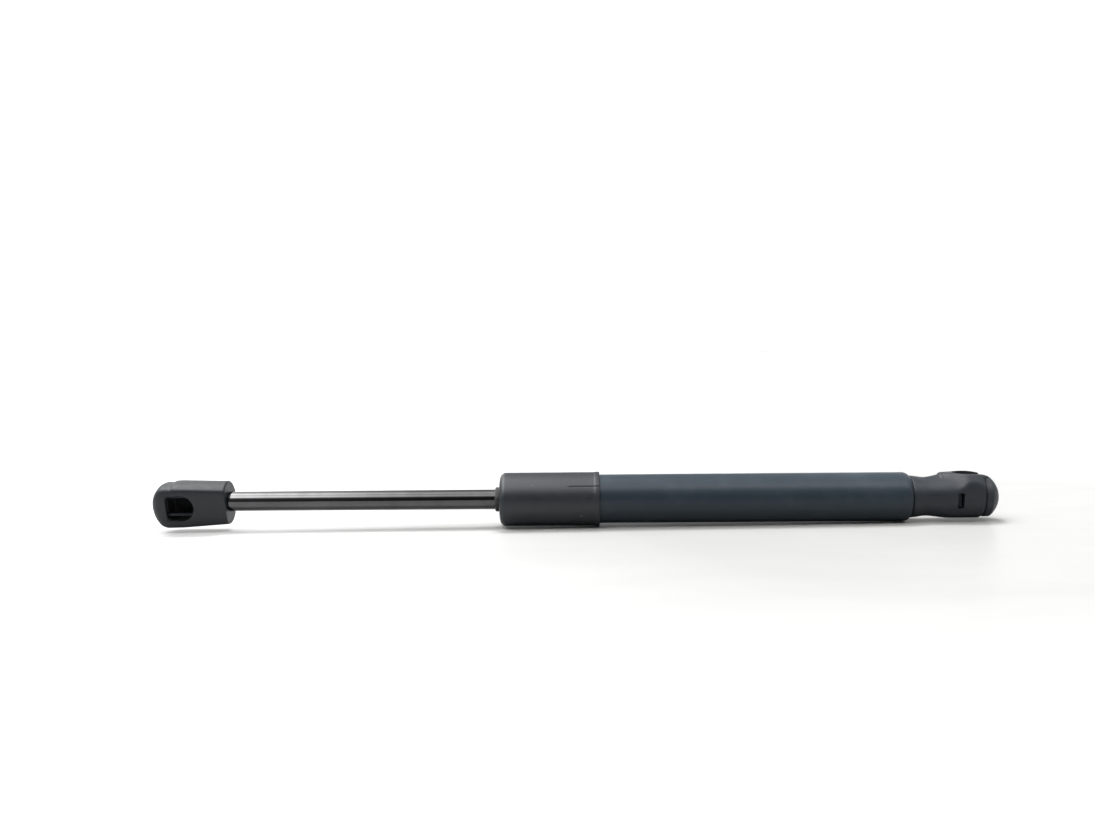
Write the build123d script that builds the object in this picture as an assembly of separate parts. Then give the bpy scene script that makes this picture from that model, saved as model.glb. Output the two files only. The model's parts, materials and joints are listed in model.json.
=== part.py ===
from build123d import *
import os

# A gas strut stay: a sealed tube with a sliding, turning rod and a ball socket at each end.
# Row frame, in millimetres: the origin is the centre of the ball that the tube-end socket takes,
# +X runs along the axis from the rod end to the tube end, and the tube-end socket opens to +Z.

# Overall sizes
EYE_TO_EYE = 315.0
STROKE = 105.0
ROD_RADIUS = 4.0
TUBE_RADIUS = 9.75
TUBE_WALL = 1.2
SLEEVE_RADIUS = 10.75
BALL_RADIUS = 5.0

# Clearances, as gaps in radius
RUNNING_GAP = 0.04
STATIC_GAP = 0.02
PASSING_GAP = 0.4

# The tube, rolled in over its contents at both ends
TUBE_BORE = TUBE_RADIUS - TUBE_WALL
TUBE_START = -184.5
TUBE_END = -22.2
LIP_ROLL = 3.3
LIP_HOLE = TUBE_RADIUS - LIP_ROLL
BEAD_DEPTH = 0.8
BEAD_HALF_WIDTH = 0.9

# The guide and seal pack at the rod end, outermost piece first
PACK_START = TUBE_START + TUBE_WALL + 0.05
RETAINER_THICK = 2.2
RETAINER_RIM_GAP = 0.5
RETAINER_LIP_COVER = 0.25
GUIDE_LENGTH = 9.6
BUSH_WALL = 1.0
BUSH_LENGTH = 8.0
SEAL_LENGTH = 5.0
SUPPORT_THICK = 1.4
PACK_GAP = 0.05

# O-rings, and the grooves that hold them
O_RING_MINOR = 0.68
O_RING_MAJOR = TUBE_BORE - 0.7
O_RING_GROOVE = TUBE_BORE - 1.4
O_RING_GROOVE_WIDTH = 2.2

# The piston pack, riveted on the rod's tenon
TENON_START = -161.1
TENON_RADIUS = 2.75
PISTON_RADIUS = TUBE_BORE - 0.35
PISTON_LENGTH = 8.6
PISTON_GROOVE = 6.9
PISTON_GROOVE_WIDTH = 2.8
PISTON_RING_BORE = 7.25
PISTON_RING_GAP = 0.05
DISC_THICK = 1.2
RIVET_HEIGHT = 1.1
RIVET_RADIUS = 3.8
BYPASS_RADIUS = 0.6
BYPASS_CIRCLE = 4.9
REBOUND_LENGTH = 3.2
REBOUND_RADIUS = 7.2

# The plug that closes the tube, with its threaded stud
PLUG_START = -33.0
PLUG_BOSS_RADIUS = 6.2
STUD_RADIUS = 4.0
STUD_LENGTH = 11.5

# The plastic sleeve over the tube's rod end, and the wiper that it holds
SLEEVE_START = -185.8
SLEEVE_END = -145.8
SLEEVE_WALL = 0.95
SLEEVE_EDGE = 2.4
SLEEVE_BEAD_LENGTH = 2.0
SLEEVE_BEAD_HEIGHT = 0.12
SLIT_LENGTH = 11.7
SLIT_WIDTH = 0.5
SLIT_ANGLE = 35.0
WIPER_RADIUS = 4.9
WIPER_OVERHANG = 2.0
WIPER_FLANGE = 6.3
WIPER_FLANGE_THICK = 1.2

# Both ball sockets, in their own frame: ball centre at the origin, nose to +X, mouth to +Z
SEAT_RADIUS = BALL_RADIUS + 0.1
MOUTH_RADIUS = 5.5
MOUTH_START = 5.0
MOUTH_CHAMFER = 0.3
NOSE_TIP = 12.25
SEAM = 6.1
SEAM_WIDTH = 0.45
SEAM_DEPTH = 0.8
PEG_RADIUS = 1.2
PEG_LENGTH = 3.4
PEG_PLACE = (3.6, -5.0)

# The spring clip: its legs cross the seat above the ball, and its lugs fill the windows
CLIP_THICK = 1.0
CLIP_LEG_INNER = 3.3
CLIP_LEG_LOW = 3.85
CLIP_LEG_HIGH = 4.8
CLIP_BRIDGE = 7.45
CLIP_GAP = 0.15
CLIP_SPREAD = 1.8
CLIP_SPREAD_HALF = 4.6
LUG_START = -5.2
LUG_REACH = 7.3
LUG_LOW = -3.2
LUG_HIGH = 2.2
WINDOW_START = -5.7
WINDOW_END = -3.3
WINDOW_LOW = -3.5
WINDOW_HIGH = 2.5

# The tube-end socket's own shape
TUBE_SOCKET_START = TUBE_END + 0.05
TUBE_SOCKET_COLLAR = 8.35
TUBE_SOCKET_WAIST = 7.7
WAIST_PLACE = -16.5
TUBE_SOCKET_BODY = 8.6
BODY_START = -6.8
BODY_END = 4.6
TUBE_SOCKET_NOSE = 8.15
TUBE_SOCKET_FACE = 9.6
FACE_START = -10.4
FACE_END = 6.0
FACE_HALF_WIDTH = 6.4
FACE_CORNER = 5.4
BOSS_SPREAD = 1.4
BOSS_SHOULDER = 7.0

# The rod-end socket's own shape
ROD_SOCKET_LENGTH = 18.7
ROD_SOCKET_SHANK = 8.85
ROD_SOCKET_HEAD = 9.7
ROD_SOCKET_FACE = 6.25
ROD_SOCKET_STEP = 3.4
ROD_SOCKET_NOSE = 9.1
ROD_SHOULDER = 5.0
ROD_DOME = 11.0
ROD_THREAD_RADIUS = 3.0
ROD_THREAD_LENGTH = 9.0
ROD_SOCKET_CLOCKING = 102.0

ALONG = (Align.CENTER, Align.CENTER, Align.MIN)


def disc(start, end, radius, bore=0.0):
    """A round disc along X, or a ring if it has a bore."""
    place = Pos(start, 0, 0) * Rot(0, 90, 0)
    solid = place * Cylinder(radius, end - start, align=ALONG)
    if bore:
        solid -= place * Cylinder(bore, end - start, align=ALONG)
    return solid


def turned(*edges):
    """A solid turned about X from edges that close an outline of (x, radius) points."""
    return revolve(Plane.XZ * make_face(Curve() + list(edges)), Axis.X)


def turned_points(*points):
    """A solid turned about X from the straight-sided outline through (x, radius) points."""
    return turned(Polyline(*points, close=True))


def box_between(low, high):
    """A box from its lowest to its highest corner."""
    size = [b - a for a, b in zip(low, high)]
    middle = [(a + b) / 2 for a, b in zip(low, high)]
    return Pos(*middle) * Box(*size)


def both_sides(solid):
    """A solid and its mirror image across the XZ plane, as one tool."""
    return solid + mirror(solid, Plane.XZ)


def dome_arc(rim, rim_radius, tip):
    """The arc from a rim to a tip on the axis, with its centre on the axis."""
    middle = (tip**2 - rim**2 - rim_radius**2) / (2 * (tip - rim))
    radius = tip - middle
    halfway = (rim + tip) / 2
    halfway_radius = (radius**2 - (halfway - middle) ** 2) ** 0.5
    return ThreePointArc((rim, rim_radius), (halfway, halfway_radius), (tip, 0))


def o_ring(middle):
    """A rubber O-ring that seals against the tube's bore."""
    return Pos(middle, 0, 0) * Rot(0, 90, 0) * Torus(O_RING_MAJOR, O_RING_MINOR)


def o_ring_groove(middle):
    """The square groove that an O-ring lies in."""
    half = O_RING_GROOVE_WIDTH / 2
    return disc(middle - half, middle + half, TUBE_RADIUS, O_RING_GROOVE)


# Places along the axis that follow from the sizes above
retainer_end = PACK_START + RETAINER_THICK
guide_start = retainer_end + PACK_GAP
guide_end = guide_start + GUIDE_LENGTH
seal_start = guide_end + PACK_GAP
seal_end = seal_start + SEAL_LENGTH
support_start = seal_end + PACK_GAP
support_end = support_start + SUPPORT_THICK
bead_middle = support_end + PACK_GAP + BEAD_HALF_WIDTH
guide_ring_middle = guide_start + GUIDE_LENGTH / 2
plug_ring_middle = PLUG_START + 4.5
piston_end = TENON_START + PISTON_LENGTH
piston_groove_start = TENON_START + (PISTON_LENGTH - PISTON_GROOVE_WIDTH) / 2
disc_end = piston_end + DISC_THICK
washer_end = disc_end + DISC_THICK
rod_socket_x = -EYE_TO_EYE
rod_shoulder = rod_socket_x + ROD_SOCKET_LENGTH

# The rod-end nose: a shallow dome that runs smoothly into a rounded shoulder
dome_middle = NOSE_TIP - ROD_DOME
dome_span = ROD_DOME - ROD_SHOULDER
shoulder_middle = dome_middle + (dome_span**2 - (ROD_SOCKET_NOSE - ROD_SHOULDER) ** 2) ** 0.5
dome_start = dome_middle + ROD_DOME * (shoulder_middle - dome_middle) / dome_span


def pressure_tube():
    """The steel tube, rolled in at both ends, with a bead that holds the seal pack."""
    left = TUBE_START + LIP_ROLL
    right = TUBE_END - LIP_ROLL
    inner_roll = LIP_ROLL - TUBE_WALL
    groove = BEAD_HALF_WIDTH + 0.2
    low = bead_middle - BEAD_HALF_WIDTH
    high = bead_middle + BEAD_HALF_WIDTH
    outer_bead = ThreePointArc(
        (bead_middle - groove, TUBE_RADIUS),
        (bead_middle, TUBE_RADIUS - BEAD_DEPTH),
        (bead_middle + groove, TUBE_RADIUS),
    )
    inner_bead = ThreePointArc(
        (low, TUBE_BORE), (bead_middle, TUBE_BORE - BEAD_DEPTH), (high, TUBE_BORE)
    )
    return turned(
        CenterArc((left, LIP_HOLE), LIP_ROLL, 180, -90),
        Line((left, TUBE_RADIUS), (bead_middle - groove, TUBE_RADIUS)),
        outer_bead,
        Line((bead_middle + groove, TUBE_RADIUS), (right, TUBE_RADIUS)),
        CenterArc((right, LIP_HOLE), LIP_ROLL, 90, -90),
        Line((TUBE_END, LIP_HOLE), (TUBE_END - TUBE_WALL, LIP_HOLE)),
        CenterArc((right, LIP_HOLE), inner_roll, 0, 90),
        Line((right, TUBE_BORE), (high, TUBE_BORE)),
        inner_bead,
        Line((low, TUBE_BORE), (left, TUBE_BORE)),
        CenterArc((left, LIP_HOLE), inner_roll, 90, 90),
        Line((TUBE_START + TUBE_WALL, LIP_HOLE), (TUBE_START, LIP_HOLE)),
    )


def base_plug():
    """The plug that closes the tube, in one piece with its threaded stud."""
    radius = TUBE_BORE - STATIC_GAP
    roll = TUBE_END - LIP_ROLL
    seat = LIP_ROLL - TUBE_WALL - STATIC_GAP
    tip = TUBE_SOCKET_START + STUD_LENGTH
    plug = turned(
        Polyline((roll, radius), (PLUG_START + 0.4, radius), (PLUG_START, radius - 0.4)),
        Polyline((PLUG_START, radius - 0.4), (PLUG_START, 0), (tip, 0), (tip, STUD_RADIUS - 0.6)),
        Line((tip, STUD_RADIUS - 0.6), (tip - 0.6, STUD_RADIUS)),
        Line((tip - 0.6, STUD_RADIUS), (TUBE_SOCKET_START, STUD_RADIUS)),
        Line((TUBE_SOCKET_START, STUD_RADIUS), (TUBE_SOCKET_START, PLUG_BOSS_RADIUS)),
        Line((TUBE_SOCKET_START, PLUG_BOSS_RADIUS), (roll + seat, PLUG_BOSS_RADIUS)),
        Line((roll + seat, PLUG_BOSS_RADIUS), (roll + seat, LIP_HOLE)),
        CenterArc((roll, LIP_HOLE), seat, 0, 90),
    )
    return plug - o_ring_groove(plug_ring_middle)


def guide_retaining_washer():
    """The steel washer that the tube's rolled lip bears on, dished at its rim."""
    bore = ROD_RADIUS + PASSING_GAP
    return turned_points(
        (PACK_START, bore),
        (PACK_START, LIP_HOLE + RETAINER_LIP_COVER),
        (retainer_end, TUBE_BORE - RETAINER_RIM_GAP),
        (retainer_end, bore),
    )


def rod_guide():
    """The plastic guide, with a groove for its O-ring and a counterbore for its bush."""
    body = disc(guide_start, guide_end, TUBE_BORE - STATIC_GAP, ROD_RADIUS + PASSING_GAP)
    body -= o_ring_groove(guide_ring_middle)
    return body - disc(guide_end - BUSH_LENGTH, guide_end, ROD_RADIUS + BUSH_WALL)


def guide_bush():
    """The plain bearing bush that the rod runs in."""
    bore = ROD_RADIUS + RUNNING_GAP
    return disc(guide_end - BUSH_LENGTH, guide_end, ROD_RADIUS + BUSH_WALL - STATIC_GAP, bore)


def rod_seal():
    """The rubber seal, with a lip at each end that wipes the rod."""
    rim = TUBE_BORE - STATIC_GAP
    lip = ROD_RADIUS + RUNNING_GAP
    waist = ROD_RADIUS + 1.3
    return turned_points(
        (seal_start, rim),
        (seal_end, rim),
        (seal_end, waist + 1.0),
        (seal_end - 0.9, waist + 0.7),
        (seal_end - 0.3, lip + 0.3),
        (seal_end - 0.6, lip),
        (seal_end - 1.8, waist),
        (seal_start + 1.6, waist),
        (seal_start + 0.9, lip),
        (seal_start + 0.4, lip),
        (seal_start, lip + 0.4),
    )


def seal_support_washer():
    """The washer between the seal and the tube's bead."""
    return disc(support_start, support_end, TUBE_BORE - 0.3, ROD_RADIUS + PASSING_GAP)


def rebound_stop():
    """The rubber ring on the rod that meets the support washer at full extension."""
    end = TENON_START - PACK_GAP
    ring = disc(end - REBOUND_LENGTH, end, REBOUND_RADIUS, ROD_RADIUS + STATIC_GAP)
    outer_edges = ring.edges().filter_by(GeomType.CIRCLE).sort_by(SortBy.RADIUS)[-2:]
    return fillet(outer_edges, 0.8)


def piston_rod():
    """The rod: threaded end, shoulder, running length, tenon and riveted head."""
    thread_tip = rod_shoulder - ROD_THREAD_LENGTH
    head_tip = washer_end + RIVET_HEIGHT
    return turned(
        Polyline(
            (head_tip, 0),
            (thread_tip, 0),
            (thread_tip, ROD_THREAD_RADIUS - 0.6),
            (thread_tip + 0.6, ROD_THREAD_RADIUS),
            (rod_shoulder, ROD_THREAD_RADIUS),
            (rod_shoulder, ROD_RADIUS - 0.3),
            (rod_shoulder + 0.3, ROD_RADIUS),
            (TENON_START - 0.3, ROD_RADIUS),
            (TENON_START, ROD_RADIUS - 0.3),
            (TENON_START, TENON_RADIUS),
            (washer_end, TENON_RADIUS),
            (washer_end, RIVET_RADIUS),
        ),
        dome_arc(washer_end, RIVET_RADIUS, head_tip),
    )


def piston():
    """The piston, with a groove for its ring and three small gas passages."""
    body = disc(TENON_START, piston_end, PISTON_RADIUS, TENON_RADIUS + STATIC_GAP)
    body -= disc(
        piston_groove_start,
        piston_groove_start + PISTON_GROOVE_WIDTH,
        TUBE_RADIUS,
        PISTON_GROOVE,
    )
    for turn in range(3):
        passage = Pos(0, 0, BYPASS_CIRCLE) * disc(TENON_START, piston_end, BYPASS_RADIUS)
        body -= Rot(120 * turn, 0, 0) * passage
    return body


def piston_ring():
    """The split ring that seals on the tube's bore and slides without turning."""
    side_gap = 0.1
    start = piston_groove_start + side_gap
    end = piston_groove_start + PISTON_GROOVE_WIDTH - side_gap
    ring = disc(start, end, TUBE_BORE - PISTON_RING_GAP, PISTON_RING_BORE)
    return ring - box_between((start - 1, -0.35, 0), (end + 1, 0.35, TUBE_RADIUS))


def labyrinth_disc():
    """The disc behind the piston whose ring channel meters the gas."""
    plate = disc(piston_end, disc_end, PISTON_RADIUS - 1.0, TENON_RADIUS + STATIC_GAP)
    channel = disc(piston_end, piston_end + 0.5, BYPASS_CIRCLE + 0.5, BYPASS_CIRCLE - 0.5)
    outlet = Pos(0, 0, -BYPASS_CIRCLE) * disc(piston_end, disc_end, 0.4)
    return plate - channel - outlet


def piston_washer():
    """The washer under the rod's riveted head."""
    return disc(disc_end, washer_end, 4.4, TENON_RADIUS + STATIC_GAP)


def protective_sleeve():
    """The plastic sleeve over the tube's rod end, slit at its open end to grip the tube."""
    bore = SLEEVE_RADIUS - SLEEVE_WALL
    rim = SLEEVE_RADIUS + SLEEVE_BEAD_HEIGHT
    corner = SLEEVE_EDGE - SLEEVE_WALL
    corner_middle = (SLEEVE_START + SLEEVE_EDGE, SLEEVE_RADIUS - SLEEVE_EDGE)
    bead_start = SLEEVE_END - SLEEVE_BEAD_LENGTH
    floor = SLEEVE_START + SLEEVE_WALL
    round_start = SLEEVE_START + SLEEVE_EDGE
    hole = WIPER_RADIUS + 0.1
    sleeve = turned(
        Line((SLEEVE_START, hole), (SLEEVE_START, SLEEVE_RADIUS - SLEEVE_EDGE)),
        CenterArc(corner_middle, SLEEVE_EDGE, 180, -90),
        Polyline((round_start, SLEEVE_RADIUS), (bead_start, SLEEVE_RADIUS), (bead_start + 0.2, rim)),
        Polyline((bead_start + 0.2, rim), (SLEEVE_END - 0.3, rim), (SLEEVE_END, rim - 0.4)),
        Polyline((SLEEVE_END, rim - 0.4), (SLEEVE_END, bore), (round_start, bore)),
        CenterArc(corner_middle, corner, 90, 90),
        Polyline((floor, SLEEVE_RADIUS - SLEEVE_EDGE), (floor, hole), (SLEEVE_START, hole)),
    )
    slit = box_between(
        (SLEEVE_END - SLIT_LENGTH, -2 * SLEEVE_RADIUS, -SLIT_WIDTH / 2),
        (SLEEVE_END + 1, -TUBE_RADIUS / 2, SLIT_WIDTH / 2),
    )
    for turn in range(4):
        sleeve -= Rot(-SLIT_ANGLE + 90 * turn, 0, 0) * slit
    return sleeve


def wiper_ring():
    """The rubber wiper that stands out of the sleeve's floor around the rod."""
    tip = SLEEVE_START - WIPER_OVERHANG
    flange_start = SLEEVE_START + SLEEVE_WALL + PACK_GAP
    flange_end = flange_start + WIPER_FLANGE_THICK
    bore = ROD_RADIUS + RUNNING_GAP
    return turned_points(
        (tip, bore),
        (tip, WIPER_RADIUS - 0.35),
        (tip + 0.45, WIPER_RADIUS),
        (SLEEVE_START - 0.5, WIPER_RADIUS),
        (SLEEVE_START - 0.1, WIPER_RADIUS - 0.1),
        (flange_start, WIPER_RADIUS - 0.1),
        (flange_start, WIPER_FLANGE),
        (flange_end, WIPER_FLANGE),
        (flange_end, bore + 0.8),
        (flange_end - 0.8, bore),
    )


def rounded_plate(half_width, start, end, corner, height):
    """A flat rounded outline on the socket's face side, at one height above the axis."""
    plate = RectangleRounded(end - start, 2 * half_width, corner)
    return Pos((start + end) / 2, 0, height) * plate


def ball_cavity(face):
    """The space that the ball goes into: a round seat, its mouth and the mouth's chamfer."""
    seat = Sphere(SEAT_RADIUS) + Cylinder(SEAT_RADIUS, MOUTH_START, align=ALONG)
    mouth = Pos(0, 0, MOUTH_START) * Cylinder(MOUTH_RADIUS, face, align=ALONG)
    flare = Pos(0, 0, face - MOUTH_CHAMFER) * Cone(
        MOUTH_RADIUS, MOUTH_RADIUS + 2 * MOUTH_CHAMFER, 2 * MOUTH_CHAMFER, align=ALONG
    )
    return seat + mouth + flare


def clip_pocket(start):
    """The slots that the clip's legs slide into from the nose, with room to spread."""
    inner = CLIP_LEG_INNER - CLIP_GAP
    outer = CLIP_LEG_INNER + CLIP_THICK + CLIP_GAP
    low = CLIP_LEG_LOW - CLIP_GAP
    high = CLIP_LEG_HIGH + CLIP_GAP
    slot = box_between((start, inner, low), (NOSE_TIP, outer, high))
    room = box_between(
        (-CLIP_SPREAD_HALF, inner, low), (CLIP_SPREAD_HALF, outer + CLIP_SPREAD, high)
    )
    return both_sides(slot + room)


def side_windows():
    """The windows in the socket's sides, with the way down from the legs to the lugs."""
    outer = CLIP_LEG_INNER + CLIP_THICK + CLIP_GAP
    window = box_between(
        (WINDOW_START, CLIP_LEG_INNER - CLIP_GAP, WINDOW_LOW),
        (WINDOW_END, 2 * TUBE_SOCKET_BODY, WINDOW_HIGH),
    )
    drop = box_between(
        (WINDOW_START, CLIP_LEG_INNER - CLIP_GAP, WINDOW_LOW),
        (WINDOW_END, outer, CLIP_LEG_HIGH + CLIP_GAP),
    )
    return both_sides(window + drop)


def pegs(radius, length):
    """The two pegs, or peg holes, that hold the nose cap on."""
    across, up = PEG_PLACE
    return both_sides(Pos(0, across, up) * disc(SEAM - length, SEAM, radius))


def spring_clip(leg_start, with_lugs):
    """The U-shaped spring clip: a bridge in the nose and a leg each side of the ball."""
    outer = CLIP_LEG_INNER + CLIP_THICK
    bridge_end = CLIP_BRIDGE + CLIP_THICK
    leg = box_between(
        (leg_start, CLIP_LEG_INNER, CLIP_LEG_LOW), (bridge_end, outer, CLIP_LEG_HIGH)
    )
    bridge = box_between(
        (CLIP_BRIDGE, 0, CLIP_LEG_LOW), (bridge_end, outer, CLIP_LEG_HIGH)
    )
    half = leg + bridge
    if with_lugs:
        lug_end = LUG_START + CLIP_THICK
        half += box_between((LUG_START, CLIP_LEG_INNER, LUG_LOW), (lug_end, outer, CLIP_LEG_HIGH))
        half += box_between((LUG_START, CLIP_LEG_INNER, LUG_LOW), (lug_end, LUG_REACH, LUG_HIGH))
    return both_sides(half)


def bridge_pocket():
    """The hollow in the nose cap that the clip's bridge lies in."""
    outer = CLIP_LEG_INNER + CLIP_THICK + CLIP_GAP
    return box_between(
        (SEAM - 1, -outer, CLIP_LEG_LOW - CLIP_GAP),
        (CLIP_BRIDGE + CLIP_THICK + CLIP_GAP, outer, CLIP_LEG_HIGH + CLIP_GAP),
    )


def tube_end_socket():
    """The tube-end ball socket: a waisted collar, a round body and a raised flat face."""
    body = turned(
        Polyline((TUBE_SOCKET_START, 0), (TUBE_SOCKET_START, TUBE_SOCKET_COLLAR - 0.3)),
        Line(
            (TUBE_SOCKET_START, TUBE_SOCKET_COLLAR - 0.3),
            (TUBE_SOCKET_START + 0.3, TUBE_SOCKET_COLLAR),
        ),
        Spline(
            (TUBE_SOCKET_START + 0.3, TUBE_SOCKET_COLLAR),
            (WAIST_PLACE, TUBE_SOCKET_WAIST),
            (BODY_START, TUBE_SOCKET_BODY),
            tangents=[(1, -0.22), (1, 0)],
        ),
        Polyline((BODY_START, TUBE_SOCKET_BODY), (BODY_END, TUBE_SOCKET_BODY)),
        Line((BODY_END, TUBE_SOCKET_BODY), (BODY_END + 0.3, TUBE_SOCKET_NOSE)),
        Polyline((BODY_END + 0.3, TUBE_SOCKET_NOSE), (SEAM, TUBE_SOCKET_NOSE), (SEAM, 0)),
        Line((SEAM, 0), (TUBE_SOCKET_START, 0)),
    )
    wide = FACE_HALF_WIDTH + BOSS_SPREAD
    start = FACE_START - BOSS_SPREAD
    base = rounded_plate(wide, start, FACE_END, FACE_CORNER + BOSS_SPREAD, 0)
    shoulder = Pos(0, 0, BOSS_SHOULDER) * base
    face = rounded_plate(FACE_HALF_WIDTH, FACE_START, FACE_END, FACE_CORNER, TUBE_SOCKET_FACE)
    boss = extrude(base, BOSS_SHOULDER) + loft([shoulder, face])
    body += boss
    body -= ball_cavity(TUBE_SOCKET_FACE)
    body -= clip_pocket(WINDOW_START) + side_windows()
    body -= pegs(PEG_RADIUS, PEG_LENGTH)
    return body - disc(TUBE_SOCKET_START, TUBE_SOCKET_START + STUD_LENGTH + 0.4, STUD_RADIUS + STATIC_GAP)


def nose_cap(outline):
    """A nose cap from its turned outline: a recessed neck at the seam, pegs and a clip hollow."""
    cap = outline - bridge_pocket()
    return cap + pegs(PEG_RADIUS - STATIC_GAP, PEG_LENGTH - 0.2)


def tube_end_nose_cap():
    """The rounded cap that closes the tube-end socket's nose over the clip."""
    neck = TUBE_SOCKET_NOSE - SEAM_DEPTH
    rim = SEAM + SEAM_WIDTH
    dome_rim = rim + 1.1
    outline = turned(
        Polyline((SEAM, 0), (SEAM, neck), (rim, neck), (rim, TUBE_SOCKET_NOSE)),
        Line((rim, TUBE_SOCKET_NOSE), (dome_rim, TUBE_SOCKET_NOSE)),
        dome_arc(dome_rim, TUBE_SOCKET_NOSE, NOSE_TIP),
        Line((NOSE_TIP, 0), (SEAM, 0)),
    )
    return nose_cap(outline)


def rod_shoulder_radius(x):
    """The rod-end socket's radius at a place on its nose's rounded shoulder."""
    rise = (ROD_SHOULDER**2 - (x - shoulder_middle) ** 2) ** 0.5
    return ROD_SOCKET_NOSE - ROD_SHOULDER + rise


def rod_shoulder_arc(start, end):
    """The part of the nose's rounded shoulder from one place along it to another."""
    halfway = (start + end) / 2
    places = [(x, rod_shoulder_radius(x)) for x in (start, halfway, end)]
    return ThreePointArc(*places)


def flattened(solid):
    """A rod-end piece with its face side cut flat."""
    reach = 2 * ROD_SOCKET_LENGTH
    return solid - box_between((-reach, -reach, ROD_SOCKET_FACE), (reach, reach, reach))


def placed_on_rod(solid):
    """Turns a rod-end piece to point along the rod, with its face where the rod has turned it."""
    return Pos(rod_socket_x, 0, 0) * Rot(ROD_SOCKET_CLOCKING, 0, 0) * mirror(solid, Plane.YZ)


def rod_end_socket():
    """The rod-end ball socket: a thick shank with one flat side and a round head."""
    start = -ROD_SOCKET_LENGTH
    body = turned(
        Polyline((start, 0), (start, ROD_SOCKET_SHANK - 0.6)),
        ThreePointArc(
            (start, ROD_SOCKET_SHANK - 0.6),
            (start + 0.18, ROD_SOCKET_SHANK - 0.18),
            (start + 0.6, ROD_SOCKET_SHANK),
        ),
        Polyline((start + 0.6, ROD_SOCKET_SHANK), (0, ROD_SOCKET_HEAD)),
        Polyline(
            (0, ROD_SOCKET_HEAD),
            (ROD_SOCKET_STEP - 0.6, ROD_SOCKET_HEAD),
            (ROD_SOCKET_STEP, ROD_SOCKET_NOSE),
        ),
        Line((ROD_SOCKET_STEP, ROD_SOCKET_NOSE), (shoulder_middle, ROD_SOCKET_NOSE)),
        rod_shoulder_arc(shoulder_middle, SEAM),
        Polyline((SEAM, rod_shoulder_radius(SEAM)), (SEAM, 0), (start, 0)),
    )
    body = flattened(body)
    body -= ball_cavity(ROD_SOCKET_FACE)
    body -= clip_pocket(WINDOW_START)
    body -= pegs(PEG_RADIUS, PEG_LENGTH)
    body -= disc(start, start + ROD_THREAD_LENGTH + 0.4, ROD_THREAD_RADIUS + STATIC_GAP)
    return placed_on_rod(body)


def rod_end_nose_cap():
    """The rounded cap that closes the rod-end socket's nose over the clip."""
    neck = rod_shoulder_radius(SEAM) - SEAM_DEPTH
    rim = SEAM + SEAM_WIDTH
    outline = turned(
        Polyline((SEAM, 0), (SEAM, neck), (rim, neck), (rim, rod_shoulder_radius(rim))),
        rod_shoulder_arc(rim, dome_start),
        dome_arc(dome_start, rod_shoulder_radius(dome_start), NOSE_TIP),
        Line((NOSE_TIP, 0), (SEAM, 0)),
    )
    return placed_on_rod(nose_cap(flattened(outline)))


parts = {
    "pressure_tube": pressure_tube(),
    "base_plug": base_plug(),
    "base_plug_o_ring": o_ring(plug_ring_middle),
    "guide_retaining_washer": guide_retaining_washer(),
    "rod_guide": rod_guide(),
    "guide_bush": guide_bush(),
    "guide_o_ring": o_ring(guide_ring_middle),
    "rod_seal": rod_seal(),
    "seal_support_washer": seal_support_washer(),
    "rebound_stop": rebound_stop(),
    "piston_rod": piston_rod(),
    "piston": piston(),
    "piston_ring": piston_ring(),
    "labyrinth_disc": labyrinth_disc(),
    "piston_washer": piston_washer(),
    "protective_sleeve": protective_sleeve(),
    "wiper_ring": wiper_ring(),
    "tube_end_socket": tube_end_socket(),
    "tube_end_clip": spring_clip(LUG_START, True),
    "tube_end_nose_cap": tube_end_nose_cap(),
    "rod_end_socket": rod_end_socket(),
    "rod_end_clip": placed_on_rod(spring_clip(LUG_START, False)),
    "rod_end_nose_cap": rod_end_nose_cap(),
}

os.makedirs("parts", exist_ok=True)
for name, solid in parts.items():
    export_step(solid, f"parts/{name}.step")
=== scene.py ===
import bmesh
import bpy
import json
import math
from mathutils import Matrix, Vector


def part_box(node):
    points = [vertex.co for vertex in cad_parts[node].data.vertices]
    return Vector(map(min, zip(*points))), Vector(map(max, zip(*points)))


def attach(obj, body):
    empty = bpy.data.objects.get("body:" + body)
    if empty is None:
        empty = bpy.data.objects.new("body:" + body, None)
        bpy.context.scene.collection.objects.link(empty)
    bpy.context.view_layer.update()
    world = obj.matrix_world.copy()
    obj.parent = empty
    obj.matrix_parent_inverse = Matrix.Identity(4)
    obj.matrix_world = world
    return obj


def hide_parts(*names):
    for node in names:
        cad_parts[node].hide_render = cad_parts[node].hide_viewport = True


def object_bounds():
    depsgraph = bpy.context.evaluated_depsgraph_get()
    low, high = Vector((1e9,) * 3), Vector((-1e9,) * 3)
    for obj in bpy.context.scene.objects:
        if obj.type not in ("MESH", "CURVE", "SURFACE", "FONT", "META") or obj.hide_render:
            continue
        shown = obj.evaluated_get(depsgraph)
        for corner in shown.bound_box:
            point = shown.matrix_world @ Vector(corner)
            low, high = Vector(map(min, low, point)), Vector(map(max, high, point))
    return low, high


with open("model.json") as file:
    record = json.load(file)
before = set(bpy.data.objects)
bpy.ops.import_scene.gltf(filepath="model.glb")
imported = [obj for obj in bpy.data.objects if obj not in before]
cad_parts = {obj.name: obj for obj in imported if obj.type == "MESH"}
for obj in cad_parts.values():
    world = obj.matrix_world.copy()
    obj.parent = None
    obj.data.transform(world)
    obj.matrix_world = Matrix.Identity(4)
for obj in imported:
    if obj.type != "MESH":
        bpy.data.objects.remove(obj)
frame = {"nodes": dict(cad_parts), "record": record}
cad_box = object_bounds()

MM = 0.001
SEGMENTS = 144
CIRCLE_STEPS = 96
VOXEL = 0.15 * MM
SHARP_ANGLE = math.radians(32)
SHARP_ANGLE_MOULDED = math.radians(50)


# ---------------------------------------------------------------- places read from the frame

def mm(value):
    """A length in metres, in millimetres."""
    return value / MM


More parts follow.
